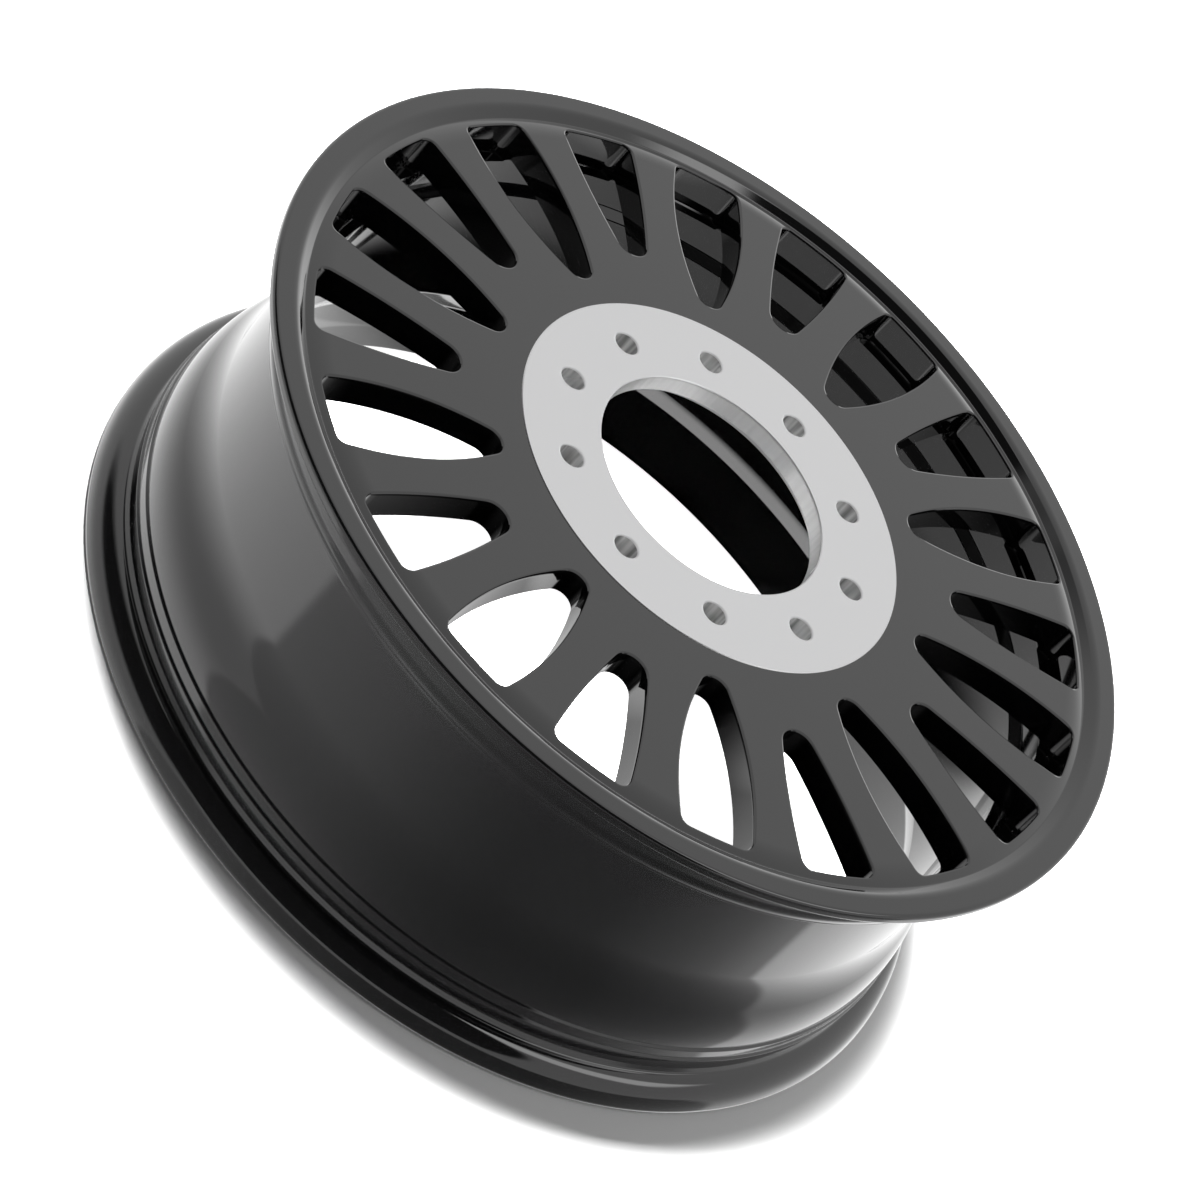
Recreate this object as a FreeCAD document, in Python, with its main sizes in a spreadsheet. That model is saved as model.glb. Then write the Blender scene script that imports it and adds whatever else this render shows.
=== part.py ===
import FreeCAD, Part
import math
import os

import Sketcher

# A forged front wheel for a truck with paired rear wheels, in millimetres.
# The spin axis is Z. The wheel lies on its inboard flange with the face up,
# so Z 0 is the inboard end and Z = width is the top of the outboard lip.
doc = FreeCAD.newDocument("dually_wheel")
sheet = doc.addObject("Spreadsheet::Sheet", "Sizes")

# Driving sizes. Radial places hang from the lip, axial places from either end.
SIZES = [
    ("lip_r", 324.5, "outside radius of both flanges"),
    ("width", 237.6, "overall width over both flanges"),
    ("lip_thick", 8.0, "outboard flange at its edge"),
    ("lip_edge", 1.6, "broken edge of the outboard flange"),
    ("lip_ring", 20.3, "flat ring on top of the lip, edge to step"),
    ("lip_proud", 1.7, "lip above the face"),
    ("step_run", 2.8, "slope of the wall inside the lip"),
    ("valley_wide", 1.4, "floor of the valley inside the lip"),
    ("valley_deep", 3.7, "valley below the face"),
    ("roll_wide", 16.0, "rounded shoulder where the face rolls into the valley"),
    ("pad_r", 145.0, "machined hub pad"),
    ("pad_proud", 0.6, "pad above the painted face"),
    ("pad_thick", 19.6, "hub pad, front to back"),
    ("pad_back_r", 152.0, "flat hub seat on the back"),
    ("bore_r", 85.05, "hub bore"),
    ("bore_chamfer", 1.2, "lead-in at both ends of the bore"),
    ("spoke_deep", 23.1, "spokes at the barrel, front to back"),
    ("flange_high", 16.2, "flange above the heel of the tyre seat"),
    ("heel_fall", 1.2, "slope of the outboard flange's tyre side"),
    ("seat_long", 20.4, "outboard tyre seat"),
    ("seat_fall", 2.5, "taper of the outboard tyre seat"),
    ("hump_high", 1.2, "safety hump"),
    ("hump_long", 8.0, "safety hump, along the axis"),
    ("shelf_long", 1.5, "land behind the hump"),
    ("well_deep", 16.5, "drop of the well below the hump"),
    ("well_wall_long", 11.5, "well wall, along the axis"),
    ("barrel_wall", 10.0, "barrel wall in the well"),
    ("rise_start", 100.0, "well's inboard end, above the inboard end"),
    ("rise_high", 15.5, "inboard shoulder above the well"),
    ("rise_long", 48.2, "slope from the well to the inboard shoulder"),
    ("ledge_edge_z", 33.4, "edge of the inboard shoulder"),
    ("groove_deep", 1.6, "step behind that edge"),
    ("seat_in_long", 11.0, "inboard tyre seat"),
    ("seat_in_rise", 3.9, "taper of the inboard tyre seat"),
    ("flange_curve", 21.5, "circle that the inboard flange's three slopes follow"),
    ("end_edge", 3.6, "slope at the foot of the inboard flange"),
    ("end_wide", 36.5, "flat ring at the inboard end, flange edge to its inside"),
    ("inner_rise_z", 44.4, "end of the slope inside the barrel"),
    ("inner_rise_long", 24.6, "slope inside the barrel"),
    ("neck_in", 39.5, "lip edge to the neck under the window ledge"),
    ("neck_long", 26.8, "neck, from the spoke backs to its inboard end"),
    ("neck_fall", 6.0, "slope from the neck to the well's inside"),
    ("window_count", 10.0, "windows of each kind, and lug holes"),
    ("window_rim", 30.5, "lip edge to the outer end of every window"),
    ("window_floor", 28.5, "window's outer end below the face"),
    ("window_corner", 7.0, "outer corners of the windows"),
    ("long_gap", 21.5, "pad edge to the long windows"),
    ("long_nose", 10.3, "round nose of the long windows"),
    ("long_half", 27.1, "half the greatest width of the long windows"),
    ("long_past", -32.0, "that width's place, past the windows' outer end"),
    ("short_gap", 44.8, "pad edge to the short windows"),
    ("short_nose", 12.0, "round nose of the short windows"),
    ("short_half", 29.7, "half the width the short windows' sides run to"),
    ("short_past", 38.0, "where the sides would be parallel, past the outer end"),
    ("lug_circle", 225.0, "lug circle diameter"),
    ("lug_hole", 16.8, "lug hole diameter"),
]
for row, (name, value, note) in enumerate(SIZES, start=1):
    sheet.set("A%d" % row, name)
    sheet.set("B%d" % row, "%g" % value)
    sheet.set("C%d" % row, note)
    sheet.setAlias("B%d" % row, name)

# The section's one curve, the shoulder that leaves the face smoothly. The inboard flange
# is turned in three slopes round a circle that starts at its tyre seat's heel.
sheet.set("G1", "=(roll_wide * roll_wide + valley_deep * valley_deep) / (2 * valley_deep)")
sheet.setAlias("G1", "roll_in_curve")
sheet.set("G2", "=flange_curve - flange_high - seat_fall - well_deep + rise_high - groove_deep + seat_in_rise")
sheet.setAlias("G2", "flange_reach")
sheet.set("G3", "=ledge_edge_z - 0.4 - seat_in_long - sqrt(flange_curve ^ 2 - flange_reach ^ 2)")
sheet.setAlias("G3", "flange_middle")

# Corners of the wheel's section as radius and height, worked out from the sizes.
CORNERS = [
    ("bore_back", "bore_r", "width - lip_proud + pad_proud - pad_thick"),
    ("bore_front", "bore_r", "width - lip_proud + pad_proud"),
    ("pad_top", "pad_r - pad_proud", "width - lip_proud + pad_proud"),
    ("pad_foot", "pad_r", "width - lip_proud"),
    ("roll_in", "lip_r - lip_ring - step_run - valley_wide - roll_wide", "width - lip_proud"),
    ("valley_in", "lip_r - lip_ring - step_run - valley_wide", "width - lip_proud - valley_deep"),
    ("valley_out", "lip_r - lip_ring - step_run", "width - lip_proud - valley_deep"),
    ("lip_in", "lip_r - lip_ring", "width"),
    ("lip_out", "lip_r", "width"),
    ("lip_back", "lip_r", "width - lip_thick"),
    ("heel", "lip_r - flange_high", "width - lip_thick - heel_fall"),
    ("hump_front", "lip_r - flange_high - seat_fall", "width - lip_thick - heel_fall - seat_long"),
    ("hump_top", "lip_r - flange_high - seat_fall + hump_high",
     "width - lip_thick - heel_fall - seat_long - hump_long / 2"),
    ("hump_back", "lip_r - flange_high - seat_fall",
     "width - lip_thick - heel_fall - seat_long - hump_long"),
    ("shelf_end", "lip_r - flange_high - seat_fall",
     "width - lip_thick - heel_fall - seat_long - hump_long - shelf_long"),
    ("well_front", "lip_r - flange_high - seat_fall - well_deep",
     "width - lip_thick - heel_fall - seat_long - hump_long - shelf_long - well_wall_long"),
    ("well_back", "lip_r - flange_high - seat_fall - well_deep", "rise_start"),
    ("rise_top", "lip_r - flange_high - seat_fall - well_deep + rise_high", "rise_start - rise_long"),
    ("ledge_edge", "lip_r - flange_high - seat_fall - well_deep + rise_high", "ledge_edge_z"),
    ("groove", "lip_r - flange_high - seat_fall - well_deep + rise_high - groove_deep", "ledge_edge_z - 0.4"),
    ("heel_in", "lip_r - flange_high - seat_fall - well_deep + rise_high - groove_deep + seat_in_rise",
     "ledge_edge_z - 0.4 - seat_in_long"),
    ("flange_upper", "lip_r - flange_curve + flange_curve * cos(54 deg)",
     "flange_middle + flange_curve * sin(54 deg)"),
    ("flange_lower", "lip_r - flange_curve + flange_curve * cos(29 deg)",
     "flange_middle + flange_curve * sin(29 deg)"),
    ("flange_foot", "lip_r - flange_curve + sqrt(flange_curve ^ 2 - (end_edge - flange_middle) ^ 2)",
     "end_edge"),
    ("end_out", "flange_foot_x - end_edge", "0"),
    ("end_in", "lip_r - end_wide", "0"),
    ("inner_low", "lip_r - end_wide", "inner_rise_z"),
    ("inner_high", "lip_r - flange_high - seat_fall - well_deep - barrel_wall",
     "inner_rise_z + inner_rise_long"),
    ("neck_foot", "lip_r - flange_high - seat_fall - well_deep - barrel_wall",
     "width - lip_proud - spoke_deep - neck_long - neck_fall"),
    ("neck_low", "lip_r - neck_in", "width - lip_proud - spoke_deep - neck_long"),
    ("root", "lip_r - neck_in", "width - lip_proud - spoke_deep"),
    ("seat_back", "pad_back_r", "width - lip_proud + pad_proud - pad_thick"),
]
for row, (name, radius, height) in enumerate(CORNERS, start=1):
    sheet.set("E%d" % row, "=" + radius)
    sheet.setAlias("E%d" % row, name + "_x")
    sheet.set("F%d" % row, "=" + height)
    sheet.setAlias("F%d" % row, name + "_y")

# Each window hangs between the pad and the lip. Its curved sides touch its nose.
sheet.set("H1", "=lip_r - window_rim")
sheet.setAlias("H1", "window_end_r")
for row, kind in enumerate(("long", "short"), start=2):
    reach = "(K_half_at - K_in_r - K_nose)"
    curve = "=(R * R + K_half * K_half - K_nose * K_nose) / (2 * (K_half - K_nose))"
    sheet.set("H%d" % row, "=pad_r + K_gap".replace("K", kind))
    sheet.setAlias("H%d" % row, kind + "_in_r")
    sheet.set("I%d" % row, "=window_end_r + K_past".replace("K", kind))
    sheet.setAlias("I%d" % row, kind + "_half_at")
    sheet.set("J%d" % row, curve.replace("R", reach).replace("K", kind))
    sheet.setAlias("J%d" % row, kind + "_side_r")
doc.recompute()


def size(name):
    return float(sheet.get(name))


# The wheel, machined from one forging: its section turned about the spin axis.
wheel = doc.addObject("PartDesign::Body", "wheel_body")
wheel.Label = "wheel"
planes = {item.Role: item for item in wheel.Origin.OriginFeatures}


def new_sketch(name, role):
    sketch = wheel.newObject("Sketcher::SketchObject", name)
    sketch.AttachmentSupport = [(planes[role], "")]
    sketch.MapMode = "FlatFace"
    return sketch


section = new_sketch("section", "XZ_Plane")
names = [corner[0] for corner in CORNERS]
places = [FreeCAD.Vector(size(n + "_x"), size(n + "_y"), 0) for n in names]
segments = {}
ends = {}
for i, name in enumerate(names):
    start = places[i]
    end = places[(i + 1) % len(places)]
    ends[name] = (1, 2)
    geometry = Part.LineSegment(start, end)
    if name == "roll_in":
        radius = size("roll_in_curve")
        centre = FreeCAD.Vector(start.x, start.y - radius, 0)
        circle = Part.Circle(centre, FreeCAD.Vector(0, 0, 1), radius)
        geometry = Part.ArcOfCircle(
            circle, math.atan2(end.y - centre.y, end.x - centre.x), math.pi / 2)
        ends[name] = (2, 1)
    segments[name] = section.addGeometry(geometry, False)

for i, name in enumerate(names):
    after = names[(i + 1) % len(names)]
    joint = Sketcher.Constraint(
        "Coincident", segments[name], ends[name][1], segments[after], ends[after][0])
    section.addConstraint(joint)
for i, name in enumerate(names):
    point = ends[name][0]
    for kind, suffix, value in (("DistanceX", "_x", places[i].x), ("DistanceY", "_y", places[i].y)):
        index = section.addConstraint(
            Sketcher.Constraint(kind, -1, 1, segments[name], point, value))
        section.setExpression("Constraints[%d]" % index, "Sizes.%s%s" % (name, suffix))
index = section.addConstraint(Sketcher.Constraint("Radius", segments["roll_in"], size("roll_in_curve")))
section.setExpression("Constraints[%d]" % index, "Sizes.roll_in_curve")
doc.recompute()

turned = wheel.newObject("PartDesign::Revolution", "turned")
turned.Profile = section
turned.ReferenceAxis = (planes["Z_Axis"], [""])
turned.Angle = 360
doc.recompute()


def rings(feature, corners):
    """Names of the circular edges that run round the wheel through these corners."""
    found = []
    for number, edge in enumerate(feature.Shape.Edges, start=1):
        curve = edge.Curve
        if not isinstance(curve, Part.Circle):
            continue
        for corner in corners:
            near_r = abs(curve.Radius - size(corner + "_x")) < 0.01
            near_z = abs(curve.Center.z - size(corner + "_y")) < 0.01
            if near_r and near_z:
                found.append("Edge%d" % number)
    return found


def dress(name, base, corners):
    """A chamfer on whole rings, of the size that the sheet has under its name."""
    feature = wheel.newObject("PartDesign::Chamfer", name)
    feature.Base = (base, rings(base, corners))
    feature.setExpression("Size", "Sizes." + name)
    doc.recompute()
    return feature


solid = turned
for name, corners in (
    ("lip_edge", ["lip_out"]),
    ("bore_chamfer", ["bore_back", "bore_front"]),
):
    solid = dress(name, solid, corners)


# Windows: each outline is a nose, two curved sides, two round corners and an
# end that follows the lip. They are cut from the lip's level down to a ledge.
def window(kind, turn):
    nose = size(kind + "_nose")
    side_r = size(kind + "_side_r")
    corner = size("window_corner")
    end_r = size("window_end_r")
    side_x = size(kind + "_half_at")
    side_y = size(kind + "_half") - side_r
    nose_x = size(kind + "_in_r") + nose
    # Centre of the round corner: inside both the end circle and the side circle.
    a = end_r - corner
    b = side_r - corner
    gap = math.hypot(side_x, side_y)
    along = (a * a - b * b + gap * gap) / (2 * gap)
    off = math.sqrt(a * a - along * along)
    corner_x = (along * side_x - off * side_y) / gap
    corner_y = (along * side_y + off * side_x) / gap

    def angle(x, y, cx, cy):
        return math.atan2(y - cy, x - cx)

    def arc(cx, cy, radius, first, last):
        circle = Part.Circle(FreeCAD.Vector(cx, cy, 0), FreeCAD.Vector(0, 0, 1), radius)
        return Part.ArcOfCircle(circle, first, last)

    nose_turn = angle(nose_x, 0, side_x, side_y)
    corner_turn = angle(corner_x, corner_y, side_x, side_y)
    end_turn = angle(corner_x, corner_y, 0, 0)
    full = 2 * math.pi
    outline = new_sketch(kind + "_window", "XY_Plane")
    outline.AttachmentOffset = FreeCAD.Placement(
        FreeCAD.Vector(0, 0, size("width")), FreeCAD.Rotation(FreeCAD.Vector(0, 0, 1), 10))
    outline.setExpression(".AttachmentOffset.Base.z", "Sizes.width")
    outline.setExpression(".AttachmentOffset.Rotation.Angle", turn)
    shapes = [
        arc(nose_x, 0, nose, nose_turn, full - nose_turn),
        arc(side_x, -side_y, side_r, full - nose_turn, full - corner_turn),
        arc(corner_x, -corner_y, corner, full - corner_turn, full - end_turn),
        arc(0, 0, end_r, -end_turn, end_turn),
        arc(corner_x, corner_y, corner, end_turn, corner_turn),
        arc(side_x, side_y, side_r, corner_turn, nose_turn),
    ]
    ids = [outline.addGeometry(shape, False) for shape in shapes]
    for i in range(6):
        outline.addConstraint(Sketcher.Constraint("Tangent", ids[i], 2, ids[(i + 1) % 6], 1))
    outline.addConstraint(Sketcher.Constraint("Coincident", ids[3], 3, -1, 1))
    outline.addConstraint(Sketcher.Constraint("Equal", ids[1], ids[5]))
    outline.addConstraint(Sketcher.Constraint("Equal", ids[2], ids[4]))
    outline.addConstraint(Sketcher.Constraint("Symmetric", ids[1], 3, ids[5], 3, -1))
    driven = [
        (Sketcher.Constraint("DistanceX", -1, 1, ids[5], 3, side_x), "Sizes.K_half_at"),
        (Sketcher.Constraint("DistanceY", ids[5], 3, -1, 1, -side_y), "Sizes.K_side_r - Sizes.K_half"),
        (Sketcher.Constraint("Radius", ids[5], side_r), "Sizes.K_side_r"),
        (Sketcher.Constraint("Radius", ids[4], corner), "Sizes.window_corner"),
        (Sketcher.Constraint("Radius", ids[3], end_r), "Sizes.window_end_r"),
        (Sketcher.Constraint("Radius", ids[0], nose), "Sizes.K_nose"),
    ]
    for constraint, rule in driven:
        index = outline.addConstraint(constraint)
        outline.setExpression("Constraints[%d]" % index, rule.replace("K", kind))
    doc.recompute()
    pocket = wheel.newObject("PartDesign::Pocket", kind + "_window_cut")
    pocket.Profile = outline
    pocket.setExpression("Length", "Sizes.lip_proud + Sizes.window_floor")
    doc.recompute()
    return pocket


before = solid.Shape.Volume
long_cut = window("long", "0")
short_cut = window("short", "180 / Sizes.window_count")
print("one pair of windows takes", round(before - short_cut.Shape.Volume), "mm3")
windows = wheel.newObject("PartDesign::PolarPattern", "windows")
windows.Originals = [long_cut, short_cut]
windows.Axis = (planes["Z_Axis"], [""])
windows.Angle = 360
windows.setExpression("Occurrences", "Sizes.window_count")
wheel.Tip = windows
doc.recompute()
print("all windows take", round(before - windows.Shape.Volume), "mm3")

# Lug holes: drilled straight through the pad on the long windows' centre lines.
lug = new_sketch("lug", "XY_Plane")
lug.setExpression(".AttachmentOffset.Base.z", "Sizes.bore_front_y")
spot = lug.addGeometry(Part.Circle(
    FreeCAD.Vector(size("lug_circle") / 2, 0, 0), FreeCAD.Vector(0, 0, 1), size("lug_hole") / 2), False)
lug.addConstraint(Sketcher.Constraint("PointOnObject", spot, 3, -1))
index = lug.addConstraint(Sketcher.Constraint("DistanceX", -1, 1, spot, 3, size("lug_circle") / 2))
lug.setExpression("Constraints[%d]" % index, "Sizes.lug_circle / 2")
index = lug.addConstraint(Sketcher.Constraint("Diameter", spot, size("lug_hole")))
lug.setExpression("Constraints[%d]" % index, "Sizes.lug_hole")
doc.recompute()
before = windows.Shape.Volume
hole = wheel.newObject("PartDesign::Hole", "lug_hole")
hole.Profile = lug
hole.DepthType = "ThroughAll"
hole.Threaded = False
hole.setExpression("Diameter", "Sizes.lug_hole")
doc.recompute()
print("one lug hole takes", round(before - hole.Shape.Volume), "mm3")
holes = wheel.newObject("PartDesign::PolarPattern", "lug_holes")
holes.Originals = [hole]
holes.Axis = (planes["Z_Axis"], [""])
holes.Angle = 360
holes.setExpression("Occurrences", "Sizes.window_count")
wheel.Tip = holes
doc.recompute()

# Everything has to be sound before it is written.
for item in doc.Objects:
    if "Invalid" in item.State or "Error" in item.State:
        raise RuntimeError("%s did not build: %s" % (item.Name, item.State))
if wheel.Shape.isNull() or not wheel.Shape.isValid() or len(wheel.Shape.Solids) != 1:
    raise RuntimeError("the wheel is not one sound solid")
print("volume", round(wheel.Shape.Volume), "mm3", "box", wheel.Shape.BoundBox)
os.makedirs("parts", exist_ok=True)
wheel.Shape.exportStep("parts/wheel.step")
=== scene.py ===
import math

import bpy
from mathutils import Matrix, Vector


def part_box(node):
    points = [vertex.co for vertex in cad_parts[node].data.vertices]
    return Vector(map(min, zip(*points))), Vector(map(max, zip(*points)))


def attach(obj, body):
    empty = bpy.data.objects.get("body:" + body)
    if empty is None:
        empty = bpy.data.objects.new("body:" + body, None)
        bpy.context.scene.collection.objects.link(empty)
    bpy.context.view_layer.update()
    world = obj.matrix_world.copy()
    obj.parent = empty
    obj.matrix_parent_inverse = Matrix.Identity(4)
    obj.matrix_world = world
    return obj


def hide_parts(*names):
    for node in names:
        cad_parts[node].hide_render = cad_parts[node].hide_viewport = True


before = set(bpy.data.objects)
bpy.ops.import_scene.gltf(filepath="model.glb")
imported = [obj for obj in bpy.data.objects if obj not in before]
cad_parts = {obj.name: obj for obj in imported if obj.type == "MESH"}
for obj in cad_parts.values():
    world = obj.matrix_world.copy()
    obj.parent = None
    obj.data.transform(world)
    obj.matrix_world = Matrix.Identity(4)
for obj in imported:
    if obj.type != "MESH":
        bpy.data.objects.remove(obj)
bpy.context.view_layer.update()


# The wheel blank: one aluminium forging, turned all over. A flat face with a
# raised lip, two tyre seats, a drop well between them and a thick hub pad.
# Its section is drawn once and swept round the spin axis, in millimetres.
MM = 0.001
box_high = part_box("wheel")[1]
LIP_R = box_high[0] / MM
WIDTH = box_high[2] / MM
FACE_Z = WIDTH - 1.7
PAD_Z = FACE_Z + 0.6
SEAT_Z = PAD_Z - 19.6
SPOKE_BACK_Z = FACE_Z - 23.1
VALLEY_Z = FACE_Z - 2.7
PAD_R = 145.0
SEAT_R = 152.0
BORE_R = 85.05
BORE_BREAK = 6.5
ROLL_START_R = LIP_R - 40.5
ROLL_CURVE = 48.8
BEAD_R = LIP_R - 18.7
WELL_R = BEAD_R - 16.5
SHOULDER_R = WELL_R + 15.5
S_CURVE = 62.0
INSIDE_R = WELL_R - 10.0
NECK_R = LIP_R - 39.5
END_R = LIP_R - 36.5
# Corners in turning order as radius, height and rounding.
SECTION = [
    # The bore and the raised hub pad.
    (BORE_R + BORE_BREAK, SEAT_Z, 0.6),
    (BORE_R, SEAT_Z + BORE_BREAK, 0.6),
    (BORE_R, PAD_Z, 1.2),
    (PAD_R - 0.6, PAD_Z, 0.3),
    (PAD_R, FACE_Z, 0.2),
    # The face, which rolls off into a valley, and the lip that rises from it.
    (ROLL_START_R + 8.21, FACE_Z, ROLL_CURVE),
    (LIP_R - 24.5, VALLEY_Z, 0.3),
    (LIP_R - 23.8, VALLEY_Z, 0.4),
    (LIP_R - 16.0, WIDTH, 10.0),
    (LIP_R, WIDTH, 3.0),
    (LIP_R, WIDTH - 8.0, 3.0),
    # The outboard tyre seat and its hump.
    (BEAD_R + 2.5, WIDTH - 9.2, 6.0),
    (BEAD_R, 208.0, 4.0),
    (BEAD_R + 1.2, 204.0, 7.0),
    (BEAD_R, 200.0, 2.0),
    (BEAD_R, 198.5, 1.0),
    # The drop well and the S-curve up from it.
    (WELL_R, 187.0, 10.0),
    (WELL_R, 93.0, S_CURVE),
    (SHOULDER_R - 1.0, 65.0, S_CURVE),
    # The inboard tyre seat, with two steps and a groove.
    (SHOULDER_R - 1.0, 48.4, 0.6),
    (SHOULDER_R + 0.6, 46.6, 0.6),
    (SHOULDER_R + 0.6, 39.4, 0.6),
    (SHOULDER_R + 2.2, 37.6, 0.6),
    (SHOULDER_R + 1.2, 27.0, 0.5),
    (SHOULDER_R - 0.4, 26.2, 0.3),
    (SHOULDER_R + 2.3, 22.0, 2.5),
    # The inboard flange, on which the wheel rests.
    (LIP_R - 3.43, 19.28, 19.0),
    (LIP_R + 0.7, 0.0, 4.2),
    (END_R, 0.0, 2.5),
    # The inside of the barrel, and the back of the spokes and of the hub pad.
    (END_R, 53.0, 8.0),
    (INSIDE_R, 74.0, 8.0),
    (INSIDE_R, FACE_Z - 55.9, 2.0),
    (NECK_R, FACE_Z - 49.9, 2.0),
    (NECK_R, SPOKE_BACK_Z, 5.0),
    (SEAT_R, SEAT_Z, 0.5),
]
LONG_ROUND = 20.0
ARC_STEP = math.radians(9)
SWEEP_STEPS = 240
HOLD = 0.4 * MM
DOUBLE = 0.002 * MM


def begin_line(name, point):
    """A new piece with one vertex to draw from, left in edit mode."""
    bpy.ops.object.select_all(action="DESELECT")
    bpy.ops.mesh.primitive_plane_add(size=MM)
    piece = bpy.context.object
    piece.name = name
    bpy.ops.object.mode_set(mode="EDIT")
    bpy.ops.mesh.select_mode(type="VERT")
    bpy.ops.mesh.merge(type="CENTER")
    bpy.ops.transform.translate(value=point)
    return piece


def draw_line(start, end):
    """A straight stretch, with a point close to each end to hold it flat."""
    along = (end - start).normalized()
    stops = [end]
    if (end - start).length > 3 * HOLD:
        stops = [start + along * HOLD, end - along * HOLD, end]
    for stop in stops:
        bpy.ops.mesh.extrude_region_move(TRANSFORM_OT_translate={"value": stop - start})
        start = stop


def draw_arc(centre, turn, axis, least):
    """A round stretch from the last vertex, turning by the right-hand rule."""
    steps = max(least, math.ceil(abs(turn) / ARC_STEP))
    bpy.ops.mesh.spin(steps=steps, angle=-turn, center=centre, axis=axis)


def join_ends():
    """Merges what the drawing left double and turns every face outwards."""
    bpy.ops.mesh.select_all(action="SELECT")
    bpy.ops.mesh.remove_doubles(threshold=DOUBLE)
    bpy.ops.mesh.normals_make_consistent(inside=False)


corners = [Vector((radius, 0, height)) * MM for radius, height, _ in SECTION]
bends = []
for i, corner in enumerate(corners):
    rounding = SECTION[i][2] * MM
    back = (corners[i - 1] - corner).normalized()
    ahead = (corners[(i + 1) % len(corners)] - corner).normalized()
    half = back.angle(ahead) / 2
    setback = rounding / math.tan(half)
    centre = corner + (back + ahead).normalized() * rounding / math.sin(half)
    turn = math.copysign(math.pi - 2 * half, -back.cross(ahead).y)
    bends.append((corner + back * setback, corner + ahead * setback, centre, turn))

wheel = begin_line("forged_wheel", bends[0][0])
for i, (start, end, centre, turn) in enumerate(bends):
    least = 8 if SECTION[i][2] > LONG_ROUND else 2
    draw_arc(centre, turn, (0, 1, 0), least)
    draw_line(end, bends[(i + 1) % len(bends)][0])
join_ends()
bpy.ops.mesh.spin(steps=SWEEP_STEPS, angle=2 * math.pi, center=(0, 0, 0), axis=(0, 0, 1))
join_ends()
bpy.ops.object.mode_set(mode="OBJECT")


# The windows: ten long and ten short openings, milled from the face down to a
# ledge inside the rim. Each has a round nose, two bowed sides and an end that
# follows the lip. The mill leaves a broken edge and a small round at the ledge.
WINDOWS = 10
WINDOW_END_R = LIP_R - 30.5
WINDOW_CORNER = 7.0
LEDGE_Z = FACE_Z - 28.5
LEDGE_ROUND = 1.5
CLEAR_Z = WIDTH + 6.0
EDGE = 1.5
# Slopes that break an edge or round a foot, as shares of its size in and down.
EDGE_SLOPES = ((0.60, 0.20), (0.27, 0.48), (0.13, 0.60))
FOOT_SLOPES = ((0.293, 0.707), (0.707, 0.293))
WALL_TOP = 0.6
WALL_FOOT = 0.4


def choose_low_face(piece):
    """Selects the face at the bottom of a cutter."""
    bpy.ops.mesh.select_mode(type="FACE")
    bpy.ops.mesh.select_all(action="DESELECT")
    bpy.ops.object.mode_set(mode="OBJECT")
    lowest = min(piece.data.polygons, key=lambda face: face.center.z)
    lowest.select = True
    bpy.ops.object.mode_set(mode="EDIT")


def sink_cutter(piece, top_z, bottom_z, foot_round):
    """Makes a flat outline a cutter that breaks the edge at top_z and ends at bottom_z."""
    bpy.ops.mesh.edge_face_add()
    bpy.ops.mesh.extrude_region_move(
        TRANSFORM_OT_translate={"value": (0, 0, (top_z - CLEAR_Z) * MM)})
    join_ends()
    choose_low_face(piece)
    for thick, deep in EDGE_SLOPES:
        bpy.ops.mesh.inset(thickness=thick * EDGE * MM, depth=deep * EDGE * MM)
    edge_deep = sum(deep for _, deep in EDGE_SLOPES) * EDGE
    drop = top_z - edge_deep - bottom_z - foot_round
    for fall in (WALL_TOP, drop - WALL_TOP - WALL_FOOT, WALL_FOOT):
        bpy.ops.mesh.extrude_region_move(TRANSFORM_OT_translate={"value": (0, 0, -fall * MM)})
    if foot_round:
        for thick, deep in FOOT_SLOPES:
            bpy.ops.mesh.inset(thickness=thick * foot_round * MM, depth=deep * foot_round * MM)


def ring_of(count):
    """Copies a cutter round the spin axis."""
    bpy.ops.object.mode_set(mode="EDIT")
    bpy.ops.mesh.select_all(action="SELECT")
    bpy.ops.mesh.spin(
        steps=count - 1, angle=2 * math.pi * (count - 1) / count, dupli=True,
        center=(0, 0, 0), axis=(0, 0, 1))
    join_ends()


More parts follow.
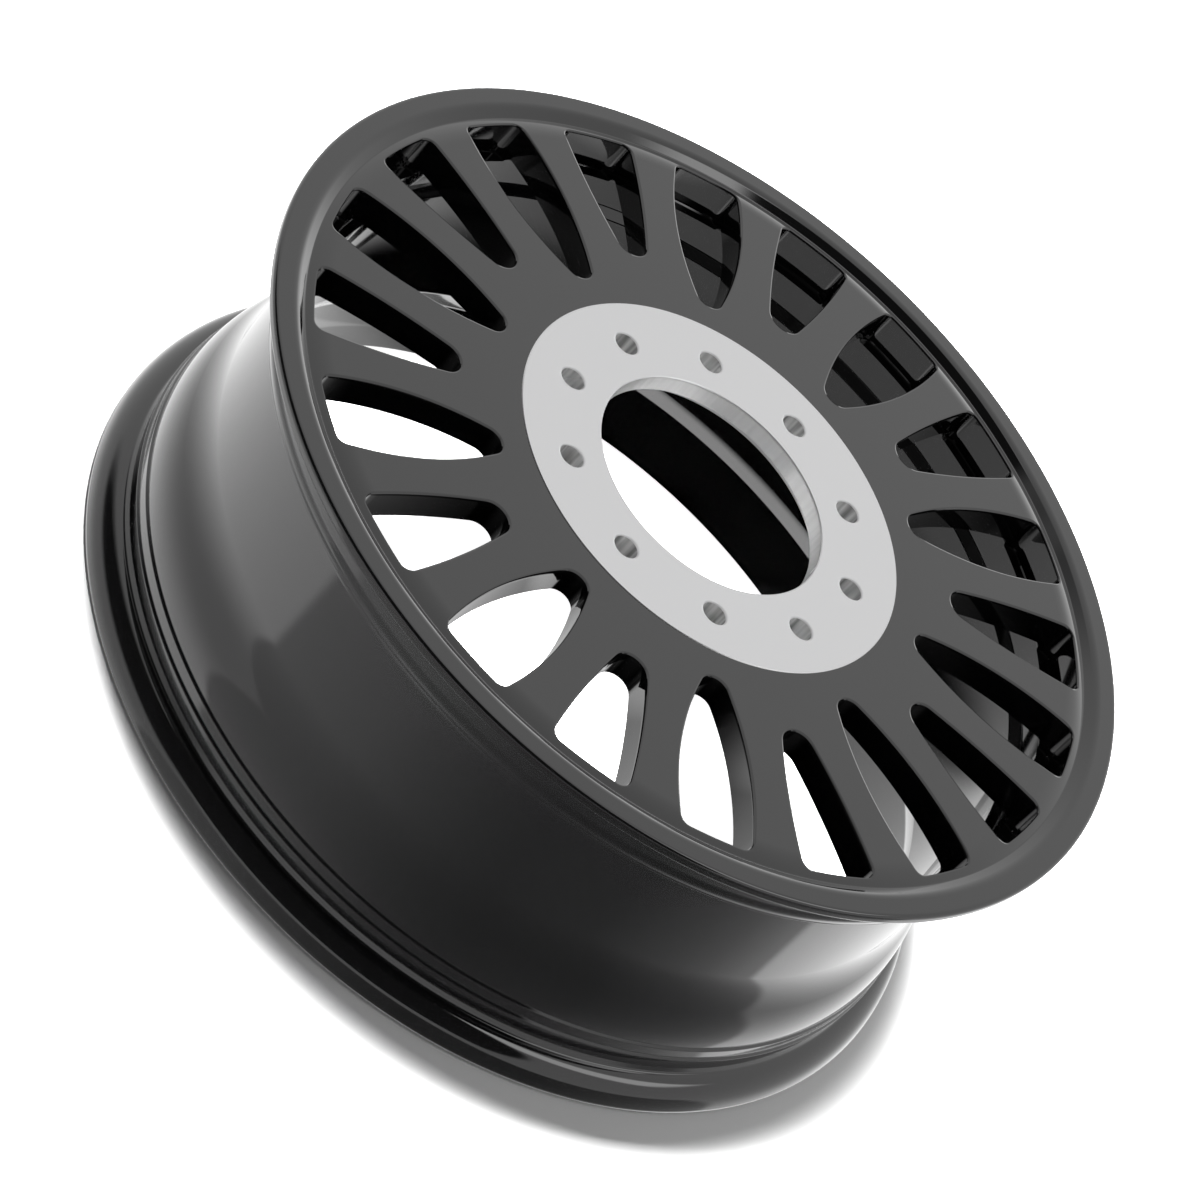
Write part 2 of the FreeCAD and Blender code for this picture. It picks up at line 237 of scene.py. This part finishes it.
def window_cutter(name, inner_r, nose, half, half_at):
    """Ten cutters for one kind of window, whose sides run level at half_at."""
    reach = half_at - inner_r - nose
    side = (reach ** 2 + half ** 2 - nose ** 2) / (2 * (half - nose))
    nose_at = Vector((inner_r + nose, 0, 0))
    side_at = Vector((half_at, half - side, 0))
    # The round corner lies inside both the end's circle and the side's circle.
    end_room = WINDOW_END_R - WINDOW_CORNER
    side_room = side - WINDOW_CORNER
    gap = side_at.length
    along = (end_room ** 2 - side_room ** 2 + gap ** 2) / (2 * gap)
    off = math.sqrt(end_room ** 2 - along ** 2)
    u = side_at.normalized()
    corner_at = u * along + Vector((-u.y, u.x, 0)) * off
    nose_turn = math.atan2(nose_at.y - side_at.y, nose_at.x - side_at.x)
    corner_turn = math.atan2(corner_at.y - side_at.y, corner_at.x - side_at.x)
    end_turn = math.atan2(corner_at.y, corner_at.x)
    flip = Vector((1, -1, 1))
    # Centre, turn and least steps of the nose, side, corner, end, corner and side.
    arcs = [
        (nose_at, 2 * (math.pi - nose_turn), 20),
        (side_at * flip, nose_turn - corner_turn, 16),
        (corner_at * flip, corner_turn - end_turn, 9),
        (Vector(), 2 * end_turn, 12),
        (corner_at, corner_turn - end_turn, 9),
        (side_at, nose_turn - corner_turn, 16),
    ]
    lead = Vector((math.cos(nose_turn), math.sin(nose_turn), 0)) * (nose + EDGE)
    piece = begin_line(name, (nose_at + lead + Vector((0, 0, CLEAR_Z))) * MM)
    for centre, turn, steps in arcs:
        draw_arc((centre + Vector((0, 0, CLEAR_Z))) * MM, turn, (0, 0, 1), steps)
    join_ends()
    sink_cutter(piece, FACE_Z, LEDGE_Z, LEDGE_ROUND)
    # The broken edge follows the face where that rolls off towards the lip.
    bpy.ops.object.mode_set(mode="OBJECT")
    for vertex in piece.data.vertices:
        past = vertex.co.xy.length / MM - ROLL_START_R
        if past > 0 and FACE_Z - 2.0 < vertex.co.z / MM < FACE_Z + 1.0:
            vertex.co.z -= (ROLL_CURVE - math.sqrt(ROLL_CURVE ** 2 - past ** 2)) * MM
    ring_of(WINDOWS)
    return piece


long_cutters = window_cutter(
    "long_windows", inner_r=PAD_R + 21.5, nose=10.3, half=27.1, half_at=WINDOW_END_R - 32.0)
bpy.ops.object.mode_set(mode="OBJECT")
short_cutters = window_cutter(
    "short_windows", inner_r=PAD_R + 44.8, nose=12.0, half=29.7, half_at=WINDOW_END_R + 38.0)
bpy.ops.transform.rotate(value=math.pi / WINDOWS, orient_axis="Z", center_override=(0, 0, 0))
bpy.ops.object.mode_set(mode="OBJECT")


# The lug holes: ten plain holes drilled through the hub pad on the long windows'
# centre lines, with a broken edge at the front. Then every opening is cut at once.
LUG_HOLES = 10
LUG_CIRCLE_R = 112.5
LUG_HOLE_R = 8.4
DRILL_PAST = 5.0
bpy.ops.object.select_all(action="DESELECT")
bpy.ops.mesh.primitive_circle_add(
    vertices=48, radius=(LUG_HOLE_R + EDGE) * MM,
    location=(LUG_CIRCLE_R * MM, 0, CLEAR_Z * MM))
lug_cutters = bpy.context.object
bpy.ops.object.transform_apply(location=True, rotation=True, scale=True)
bpy.ops.object.mode_set(mode="EDIT")
bpy.ops.mesh.select_all(action="SELECT")
sink_cutter(lug_cutters, PAD_Z, SEAT_Z - DRILL_PAST, 0)
ring_of(LUG_HOLES)
bpy.ops.object.mode_set(mode="OBJECT")

for cutter in (long_cutters, short_cutters, lug_cutters):
    cutter.select_set(True)
bpy.context.view_layer.objects.active = lug_cutters
bpy.ops.object.join()
bpy.ops.object.select_all(action="DESELECT")
bpy.context.view_layer.objects.active = wheel
wheel.select_set(True)
bpy.ops.object.modifier_add(type="BOOLEAN")
milling = wheel.modifiers[-1]
milling.object = lug_cutters
milling.operation = "DIFFERENCE"
milling.solver = "EXACT"
bpy.ops.object.modifier_apply(modifier=milling.name)
bpy.ops.object.select_all(action="DESELECT")
lug_cutters.select_set(True)
bpy.ops.object.delete()
bpy.context.view_layer.objects.active = wheel
wheel.select_set(True)
bpy.ops.object.shade_smooth_by_angle(angle=math.radians(14))


# The finish: deep gloss black paint all over, with the hub pad, the bore and the
# lug holes left bare so that the wheel clamps metal to metal.
def unevenness_group():
    """Fine height and slow patchiness that every real surface has."""
    group = bpy.data.node_groups.new("surface_unevenness", "ShaderNodeTree")
    for socket, value in (("Fine Scale", 300.0), ("Patch Scale", 8.0)):
        made = group.interface.new_socket(
            name=socket, in_out="INPUT", socket_type="NodeSocketFloat")
        made.default_value = value
    for socket in ("Height", "Patch"):
        group.interface.new_socket(
            name=socket, in_out="OUTPUT", socket_type="NodeSocketFloat")
    inside = group.nodes.new("NodeGroupInput")
    outside = group.nodes.new("NodeGroupOutput")
    place = group.nodes.new("ShaderNodeTexCoord")
    for socket, output, detail in (("Fine Scale", "Height", 2.0), ("Patch Scale", "Patch", 4.0)):
        noise = group.nodes.new("ShaderNodeTexNoise")
        noise.inputs["Detail"].default_value = detail
        group.links.new(place.outputs["Object"], noise.inputs["Vector"])
        group.links.new(inside.outputs[socket], noise.inputs["Scale"])
        group.links.new(noise.outputs["Fac"], outside.inputs[output])
    return group


unevenness = unevenness_group()


def start_material(name):
    """A new material, with its node tree and its shader."""
    material = bpy.data.materials.new(name)
    material.use_nodes = True
    tree = material.node_tree
    return material, tree, tree.nodes["Principled BSDF"]


def add_grain(tree):
    """The shared unevenness, as a node of this material."""
    grain = tree.nodes.new("ShaderNodeGroup")
    grain.node_tree = unevenness
    return grain


def vary(tree, source, low, high, target):
    """Drives a socket between two values, over the range that noise mostly has."""
    spread = tree.nodes.new("ShaderNodeMapRange")
    spread.inputs["From Min"].default_value = 0.3
    spread.inputs["From Max"].default_value = 0.7
    spread.inputs["To Min"].default_value = low
    spread.inputs["To Max"].default_value = high
    tree.links.new(source, spread.inputs["Value"])
    tree.links.new(spread.outputs["Result"], target)


def relief(tree, height, strength, deep, shader):
    """Small bumps on a surface, deep in millimetres."""
    bump = tree.nodes.new("ShaderNodeBump")
    bump.inputs["Strength"].default_value = strength
    bump.inputs["Distance"].default_value = deep * MM
    tree.links.new(height, bump.inputs["Height"])
    tree.links.new(bump.outputs["Normal"], shader.inputs["Normal"])


def distance_from_axis(tree):
    """How far a point lies from the spin axis, in metres."""
    place = tree.nodes.new("ShaderNodeTexCoord")
    flat = tree.nodes.new("ShaderNodeVectorMath")
    flat.operation = "MULTIPLY"
    flat.inputs[1].default_value = (1, 1, 0)
    tree.links.new(place.outputs["Object"], flat.inputs[0])
    radius = tree.nodes.new("ShaderNodeVectorMath")
    radius.operation = "LENGTH"
    tree.links.new(flat.outputs["Vector"], radius.inputs[0])
    return radius.outputs["Value"]


def ramp(tree, source, low, high):
    """Rises smoothly from nought at low to one at high, or falls where low is the higher."""
    node = tree.nodes.new("ShaderNodeMapRange")
    node.interpolation_type = "SMOOTHSTEP"
    node.inputs["From Min"].default_value = low
    node.inputs["From Max"].default_value = high
    tree.links.new(source, node.inputs["Value"])
    return node.outputs["Result"]


# The paint has a hard clear coat with a trace of orange peel.
paint, tree, shader = start_material("black_gloss_paint")
shader.inputs["Base Color"].default_value = (0.0025, 0.0025, 0.0027, 1)
shader.inputs["Coat Weight"].default_value = 1.0
shader.inputs["Coat Roughness"].default_value = 0.03
grain = add_grain(tree)
grain.inputs["Fine Scale"].default_value = 420.0
vary(tree, grain.outputs["Patch"], 0.05, 0.09, shader.inputs["Roughness"])
relief(tree, grain.outputs["Height"], 0.03, 0.02, shader)

# The pad is faced on a lathe, which leaves fine rings.
bare, tree, shader = start_material("bare_aluminium")
shader.inputs["Base Color"].default_value = (0.82, 0.82, 0.825, 1)
shader.inputs["Metallic"].default_value = 1.0
rings = tree.nodes.new("ShaderNodeTexNoise")
rings.noise_dimensions = "1D"
rings.inputs["Scale"].default_value = 700.0
rings.inputs["Detail"].default_value = 2.0
tree.links.new(distance_from_axis(tree), rings.inputs["W"])
vary(tree, rings.outputs["Fac"], 0.28, 0.33, shader.inputs["Roughness"])
relief(tree, rings.outputs["Fac"], 0.05, 0.01, shader)

# A drill or a boring bar leaves marks along the hole, strong in the lug holes only.
bored, tree, shader = start_material("bored_aluminium")
shader.inputs["Metallic"].default_value = 0.3
vary(tree, add_grain(tree).outputs["Patch"], 0.15, 0.32, shader.inputs["Roughness"])
place = tree.nodes.new("ShaderNodeTexCoord")
stretch = tree.nodes.new("ShaderNodeMapping")
stretch.inputs["Scale"].default_value = (260, 260, 12)
tree.links.new(place.outputs["Object"], stretch.inputs["Vector"])
marks = tree.nodes.new("ShaderNodeTexNoise")
marks.inputs["Scale"].default_value = 1.0
marks.inputs["Detail"].default_value = 1.5
tree.links.new(stretch.outputs["Vector"], marks.inputs["Vector"])
streaks = tree.nodes.new("ShaderNodeMix")
past_bore = ramp(tree, distance_from_axis(tree), (BORE_R + 4.95) * MM, (BORE_R + 12.95) * MM)
tree.links.new(past_bore, streaks.inputs["Factor"])
vary(tree, marks.outputs["Fac"], 0.84, 0.94, streaks.inputs["A"])
vary(tree, marks.outputs["Fac"], 0.30, 1.0, streaks.inputs["B"])
tree.links.new(streaks.outputs["Result"], shader.inputs["Base Color"])
relief(tree, marks.outputs["Fac"], 0.5, 0.4, shader)

BARE_SLOT = 1
BORED_SLOT = 2
UPRIGHT = 0.3
wheel.data.materials.clear()
for finish in (paint, bare, bored):
    wheel.data.materials.append(finish)
for face in wheel.data.polygons:
    reach = face.center.xy.length / MM
    face_z = face.center.z / MM
    front = reach < PAD_R - 0.2 and face_z > SEAT_Z - 0.5
    behind = reach < SEAT_R - 0.1 and abs(face_z - SEAT_Z) < 0.3
    if front or behind:
        face.material_index = BORED_SLOT if abs(face.normal.z) < UPRIGHT else BARE_SLOT

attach(wheel, "root")
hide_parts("wheel")


# The floor: a plain pale sheet that keeps the wheel's shadow. Seen through the wheel
# it is as white as the backdrop, by a painted glow that only camera rays see, laid
# over the shade inside the wheel. In the paint it shows painted light and shade: dim
# inside the wheel, dark close to the barrel and on the camera's side, and outside it
# gives way to the tent.
# Radii in millimetres over which the painted glow inside the wheel fades in.
PAINTED_GLOW_WITHIN = (306.0, 296.0)
# Painted light and shade that the paint mirrors inside the wheel: lighter for long rays and to
# the sides, darker on the camera's side. Lengths and places in millimetres.
FAR_RAY = (200.0, 300.0)
PAINTED_FAR_LIGHT = 0.5
PAINTED_LIGHT_ASIDE = (120.0, 200.0)
PAINTED_SHADE_CAMERA_SIDE = (-180.0, -60.0)
# A painted highlight: the slope inside the barrel mirrors a painted bright patch on the floor at
# its foot.
SLOPE_RAY = ((30.0, 42.0), (120.0, 90.0))
SLOPE_FOOT = (266.0, 272.0)
PAINTED_SLOPE_LIGHT = 1.4


def maths(tree, operation, first, second=None, third=None):
    """A maths node whose inputs are sockets or plain numbers."""
    node = tree.nodes.new("ShaderNodeMath")
    node.operation = operation
    for slot, value in enumerate((first, second, third)):
        if value is None:
            continue
        if isinstance(value, (int, float)):
            node.inputs[slot].default_value = value
        else:
            tree.links.new(value, node.inputs[slot])
    return node.outputs["Value"]


def ramp_mm(tree, source, span):
    """The same ramp for a length, over a span in millimetres."""
    return ramp(tree, source, span[0] * MM, span[1] * MM)


bpy.ops.object.select_all(action="DESELECT")
bpy.ops.mesh.primitive_plane_add(size=30)
floor = bpy.context.object
floor.name = "studio_floor"
floor_material, tree, shader = start_material("pale_floor")
shader.inputs["Base Color"].default_value = (0.88, 0.88, 0.88, 1)
shader.inputs["Roughness"].default_value = 1.0
shader.inputs["Specular IOR Level"].default_value = 0.0
shader.inputs["Emission Color"].default_value = (1, 1, 1, 1)
seen = tree.nodes.new("ShaderNodeLightPath")
off_axis = distance_from_axis(tree)
inside = ramp_mm(tree, off_axis, PAINTED_GLOW_WITHIN)
# Painted glow: camera rays see the floor inside the wheel lit white, though the wheel shades it.
glow = maths(tree, "MULTIPLY", inside, seen.outputs["Is Camera Ray"])
tree.links.new(glow, shader.inputs["Emission Strength"])

place = tree.nodes.new("ShaderNodeTexCoord")
across = tree.nodes.new("ShaderNodeSeparateXYZ")
tree.links.new(place.outputs["Object"], across.inputs["Vector"])
ray = seen.outputs["Ray Length"]
# Painted light and shade in what the paint mirrors: an emission no lamp gives, dark by default,
# lighter for long rays, to the sides and at the slope's foot, darker towards the camera's side.
painted_light_far = maths(tree, "MULTIPLY", ramp_mm(tree, ray, FAR_RAY), PAINTED_FAR_LIGHT)
painted_light_to_sides = ramp_mm(tree, maths(tree, "ABSOLUTE", across.outputs["X"]), PAINTED_LIGHT_ASIDE)
painted_slope_patch = maths(
    tree, "MULTIPLY", ramp_mm(tree, ray, SLOPE_RAY[0]), ramp_mm(tree, ray, SLOPE_RAY[1]))
painted_slope_patch = maths(tree, "MULTIPLY", painted_slope_patch, ramp_mm(tree, off_axis, SLOPE_FOOT))
painted_slope_patch = maths(tree, "MULTIPLY", painted_slope_patch, PAINTED_SLOPE_LIGHT)
dim = maths(tree, "MAXIMUM", maths(tree, "MAXIMUM", painted_light_far, painted_light_to_sides), painted_slope_patch)
dim = maths(tree, "MULTIPLY", dim, ramp_mm(tree, across.outputs["Y"], PAINTED_SHADE_CAMERA_SIDE))
shade = tree.nodes.new("ShaderNodeEmission")
tree.links.new(dim, shade.inputs["Strength"])
clear = tree.nodes.new("ShaderNodeBsdfTransparent")
mirrored = tree.nodes.new("ShaderNodeMixShader")
tree.links.new(inside, mirrored.inputs["Fac"])
tree.links.new(clear.outputs["BSDF"], mirrored.inputs[1])
tree.links.new(shade.outputs["Emission"], mirrored.inputs[2])
either = tree.nodes.new("ShaderNodeMixShader")
tree.links.new(seen.outputs["Is Glossy Ray"], either.inputs["Fac"])
tree.links.new(shader.outputs["BSDF"], either.inputs[1])
tree.links.new(mirrored.outputs["Shader"], either.inputs[2])
tree.links.new(either.outputs["Shader"], tree.nodes["Material Output"].inputs["Surface"])
floor.data.materials.append(floor_material)


# The tent: white all round. A dim opening on the camera's side and two black cloths
# are mirrored as the paint's dark bands, and a lamp strip overhead lights the window
# edges. Places are a bearing and a height, and reaches are angles, in degrees.
TENT_LEVEL = 0.74
LOW_LEVEL = 1.15
FOOT_LEVEL = 0.35
PANEL_MIDDLE = (70.0, 4.0)
PANEL_REACH = (24.0, 5.0)
PANEL_LEVEL = 1.3
STRIP_MIDDLE = (78.0, 37.0)
STRIP_REACH = (46.0, 57.0)
STRIP_FROM = (38.0, 44.0)
STRIP_END = (325.0, 318.0)
STRIP_LEVEL = 2.6
# Middle, reach, lower edge and softness of each cloth.
CLOTHS = [((252.0, 50.0), 49.0, 26.0, 1.5), ((180.0, 36.0), 36.0, 18.0, 7.0)]
CLOTH_LEVEL = 0.04
# Brightness inside the opening, by bearing past SEAM.
SEAM = 180.0
OPENING = [
    (24, 0.57), (48, 0.49), (60, 0.43), (72, 0.33), (84, 0.24), (96, 0.17), (108, 0.13),
    (138, 0.13), (150, 0.19), (162, 0.25), (174, 0.34), (187, 0.52),
]
# The opening's sides, as bearing past SEAM, lean and curve by height.
OPENING_LEFT = (34.0, 0.552, 0.0076)
OPENING_RIGHT = (175.0, -0.4, -0.3)
RIGHT_CURVE_FROM = 3.0
OPENING_TOP = 16.0


def direction(bearing, height):
    """The unit vector of a bearing and a height, both in degrees."""
    bearing, height = math.radians(bearing), math.radians(height)
    return Vector((
        math.cos(height) * math.cos(bearing),
        math.cos(height) * math.sin(bearing),
        math.sin(height)))


def angle_from(tree, look, middle):
    """Degrees between a look and the direction of a lamp or a cloth."""
    dot = tree.nodes.new("ShaderNodeVectorMath")
    dot.operation = "DOT_PRODUCT"
    dot.inputs[1].default_value = direction(*middle)
    tree.links.new(look, dot.inputs[0])
    return maths(tree, "DEGREES", maths(tree, "ARCCOSINE", dot.outputs["Value"]))


def blend(tree, share, low, high):
    """Goes from one brightness to another by a share."""
    node = tree.nodes.new("ShaderNodeMix")
    for socket, value in (("Factor", share), ("A", low), ("B", high)):
        if isinstance(value, (int, float)):
            node.inputs[socket].default_value = value
        else:
            tree.links.new(value, node.inputs[socket])
    return node.outputs["Result"]


world = bpy.data.worlds.new("white_tent")
bpy.context.scene.world = world
world.use_nodes = True
tree = world.node_tree
backdrop = tree.nodes["Background"]
look = tree.nodes.new("ShaderNodeTexCoord").outputs["Generated"]
split = tree.nodes.new("ShaderNodeSeparateXYZ")
tree.links.new(look, split.inputs["Vector"])
height = maths(tree, "DEGREES", maths(tree, "ARCSINE", split.outputs["Z"]))
bearing = maths(tree, "ARCTAN2", split.outputs["Y"], split.outputs["X"])
bearing = maths(tree, "SUBTRACT", maths(tree, "DEGREES", bearing), SEAM)
bearing = maths(tree, "FLOORED_MODULO", bearing, 360.0)

# The tent is brighter low down, where the floor outside lights it, and dim at its foot.
tent = blend(tree, ramp(tree, height, 0.0, -35.0), TENT_LEVEL, LOW_LEVEL)
tent = blend(tree, ramp(tree, height, -44.0, -60.0), tent, FOOT_LEVEL)
panel = ramp(tree, angle_from(tree, look, PANEL_MIDDLE), *PANEL_REACH)
tent = blend(tree, panel, tent, PANEL_LEVEL)
strip_angle = angle_from(tree, look, STRIP_MIDDLE)
strip = maths(
    tree, "MULTIPLY", ramp(tree, strip_angle, STRIP_REACH[0] - 2, STRIP_REACH[0] + 2),
    ramp(tree, strip_angle, STRIP_REACH[1] + 4, STRIP_REACH[1]))
strip = maths(tree, "MULTIPLY", strip, ramp(tree, height, *STRIP_FROM))
strip = maths(tree, "MULTIPLY", strip, ramp(tree, bearing, *STRIP_END))
tent = blend(tree, strip, tent, STRIP_LEVEL)
for middle, reach, foot, soft in CLOTHS:
    cloth = ramp(tree, angle_from(tree, look, middle), reach + soft, reach - soft)
    cloth = maths(tree, "MULTIPLY", cloth, ramp(tree, height, foot - soft, foot + soft))
    tent = blend(tree, cloth, tent, CLOTH_LEVEL)

# The opening is wide below and closes in a curve above.
inner_light = tree.nodes.new("ShaderNodeValToRGB")
stops = inner_light.color_ramp.elements
while len(stops) < len(OPENING):
    stops.new(0.5)
for stop, (position, level) in zip(stops, OPENING):
    stop.position = position / 360
    stop.color = (level, level, level, 1)
tree.links.new(maths(tree, "DIVIDE", bearing, 360.0), inner_light.inputs["Fac"])
start, lean, curve = OPENING_LEFT
left = maths(tree, "MULTIPLY_ADD", height, curve, lean)
left = maths(tree, "MULTIPLY_ADD", left, height, start)
start, lean, curve = OPENING_RIGHT
rise = maths(tree, "MAXIMUM", maths(tree, "SUBTRACT", height, RIGHT_CURVE_FROM), 0.0)
right = maths(tree, "MULTIPLY_ADD", maths(tree, "MULTIPLY", rise, rise), curve, start)
right = maths(tree, "MULTIPLY_ADD", height, lean, right)
opening = maths(
    tree, "MULTIPLY", ramp(tree, maths(tree, "SUBTRACT", bearing, left), -2.0, 2.0),
    ramp(tree, maths(tree, "SUBTRACT", right, bearing), -2.0, 2.0))
opening = maths(
    tree, "MULTIPLY", opening, ramp(tree, height, OPENING_TOP + 1.5, OPENING_TOP - 1.5))
tent = blend(tree, opening, tent, inner_light.outputs["Color"])

seen = tree.nodes.new("ShaderNodeLightPath")
background = blend(tree, seen.outputs["Is Camera Ray"], tent, 1.0)
tree.links.new(background, backdrop.inputs["Strength"])
backdrop.inputs["Color"].default_value = (1, 1, 1, 1)


# One lamp high behind the wheel lights the floor alone, so that the floor comes out
# white and the wheel's shadow falls to the foot of the picture.
FLOOR_LAMP = (122.0, 84.0)
FLOOR_LAMP_AWAY = 4.0
aim = direction(*FLOOR_LAMP)
bpy.ops.object.light_add(type="AREA", location=aim * FLOOR_LAMP_AWAY)
lamp = bpy.context.object
lamp.name = "floor_lamp"
lamp.rotation_euler = aim.to_track_quat("Z", "Y").to_euler()
lamp.data.size = 0.8
lamp.data.energy = 900
lit_by_lamp = bpy.data.collections.new("lit_by_floor_lamp")
lit_by_lamp.objects.link(floor)
lamp.light_linking.receiver_collection = lit_by_lamp


# The camera: at the photograph's angle, and rolled, because the wheel leans there.
TARGET = Vector((0, 0, 0.107))
AWAY = 2.9925
SEEN_FROM = (257.8, 37.27)
ROLL = math.radians(44.32)
sight = direction(*SEEN_FROM)
bpy.ops.object.camera_add()
camera = bpy.context.object
turned = sight.to_track_quat("Z", "Y").to_matrix() @ Matrix.Rotation(ROLL, 3, "Z")
camera.matrix_world = Matrix.Translation(TARGET + sight * AWAY) @ turned.to_4x4()
camera.data.lens = 137.43
camera.data.sensor_width = 36.0
bpy.context.scene.camera = camera
bpy.context.scene.view_settings.view_transform = "Standard"
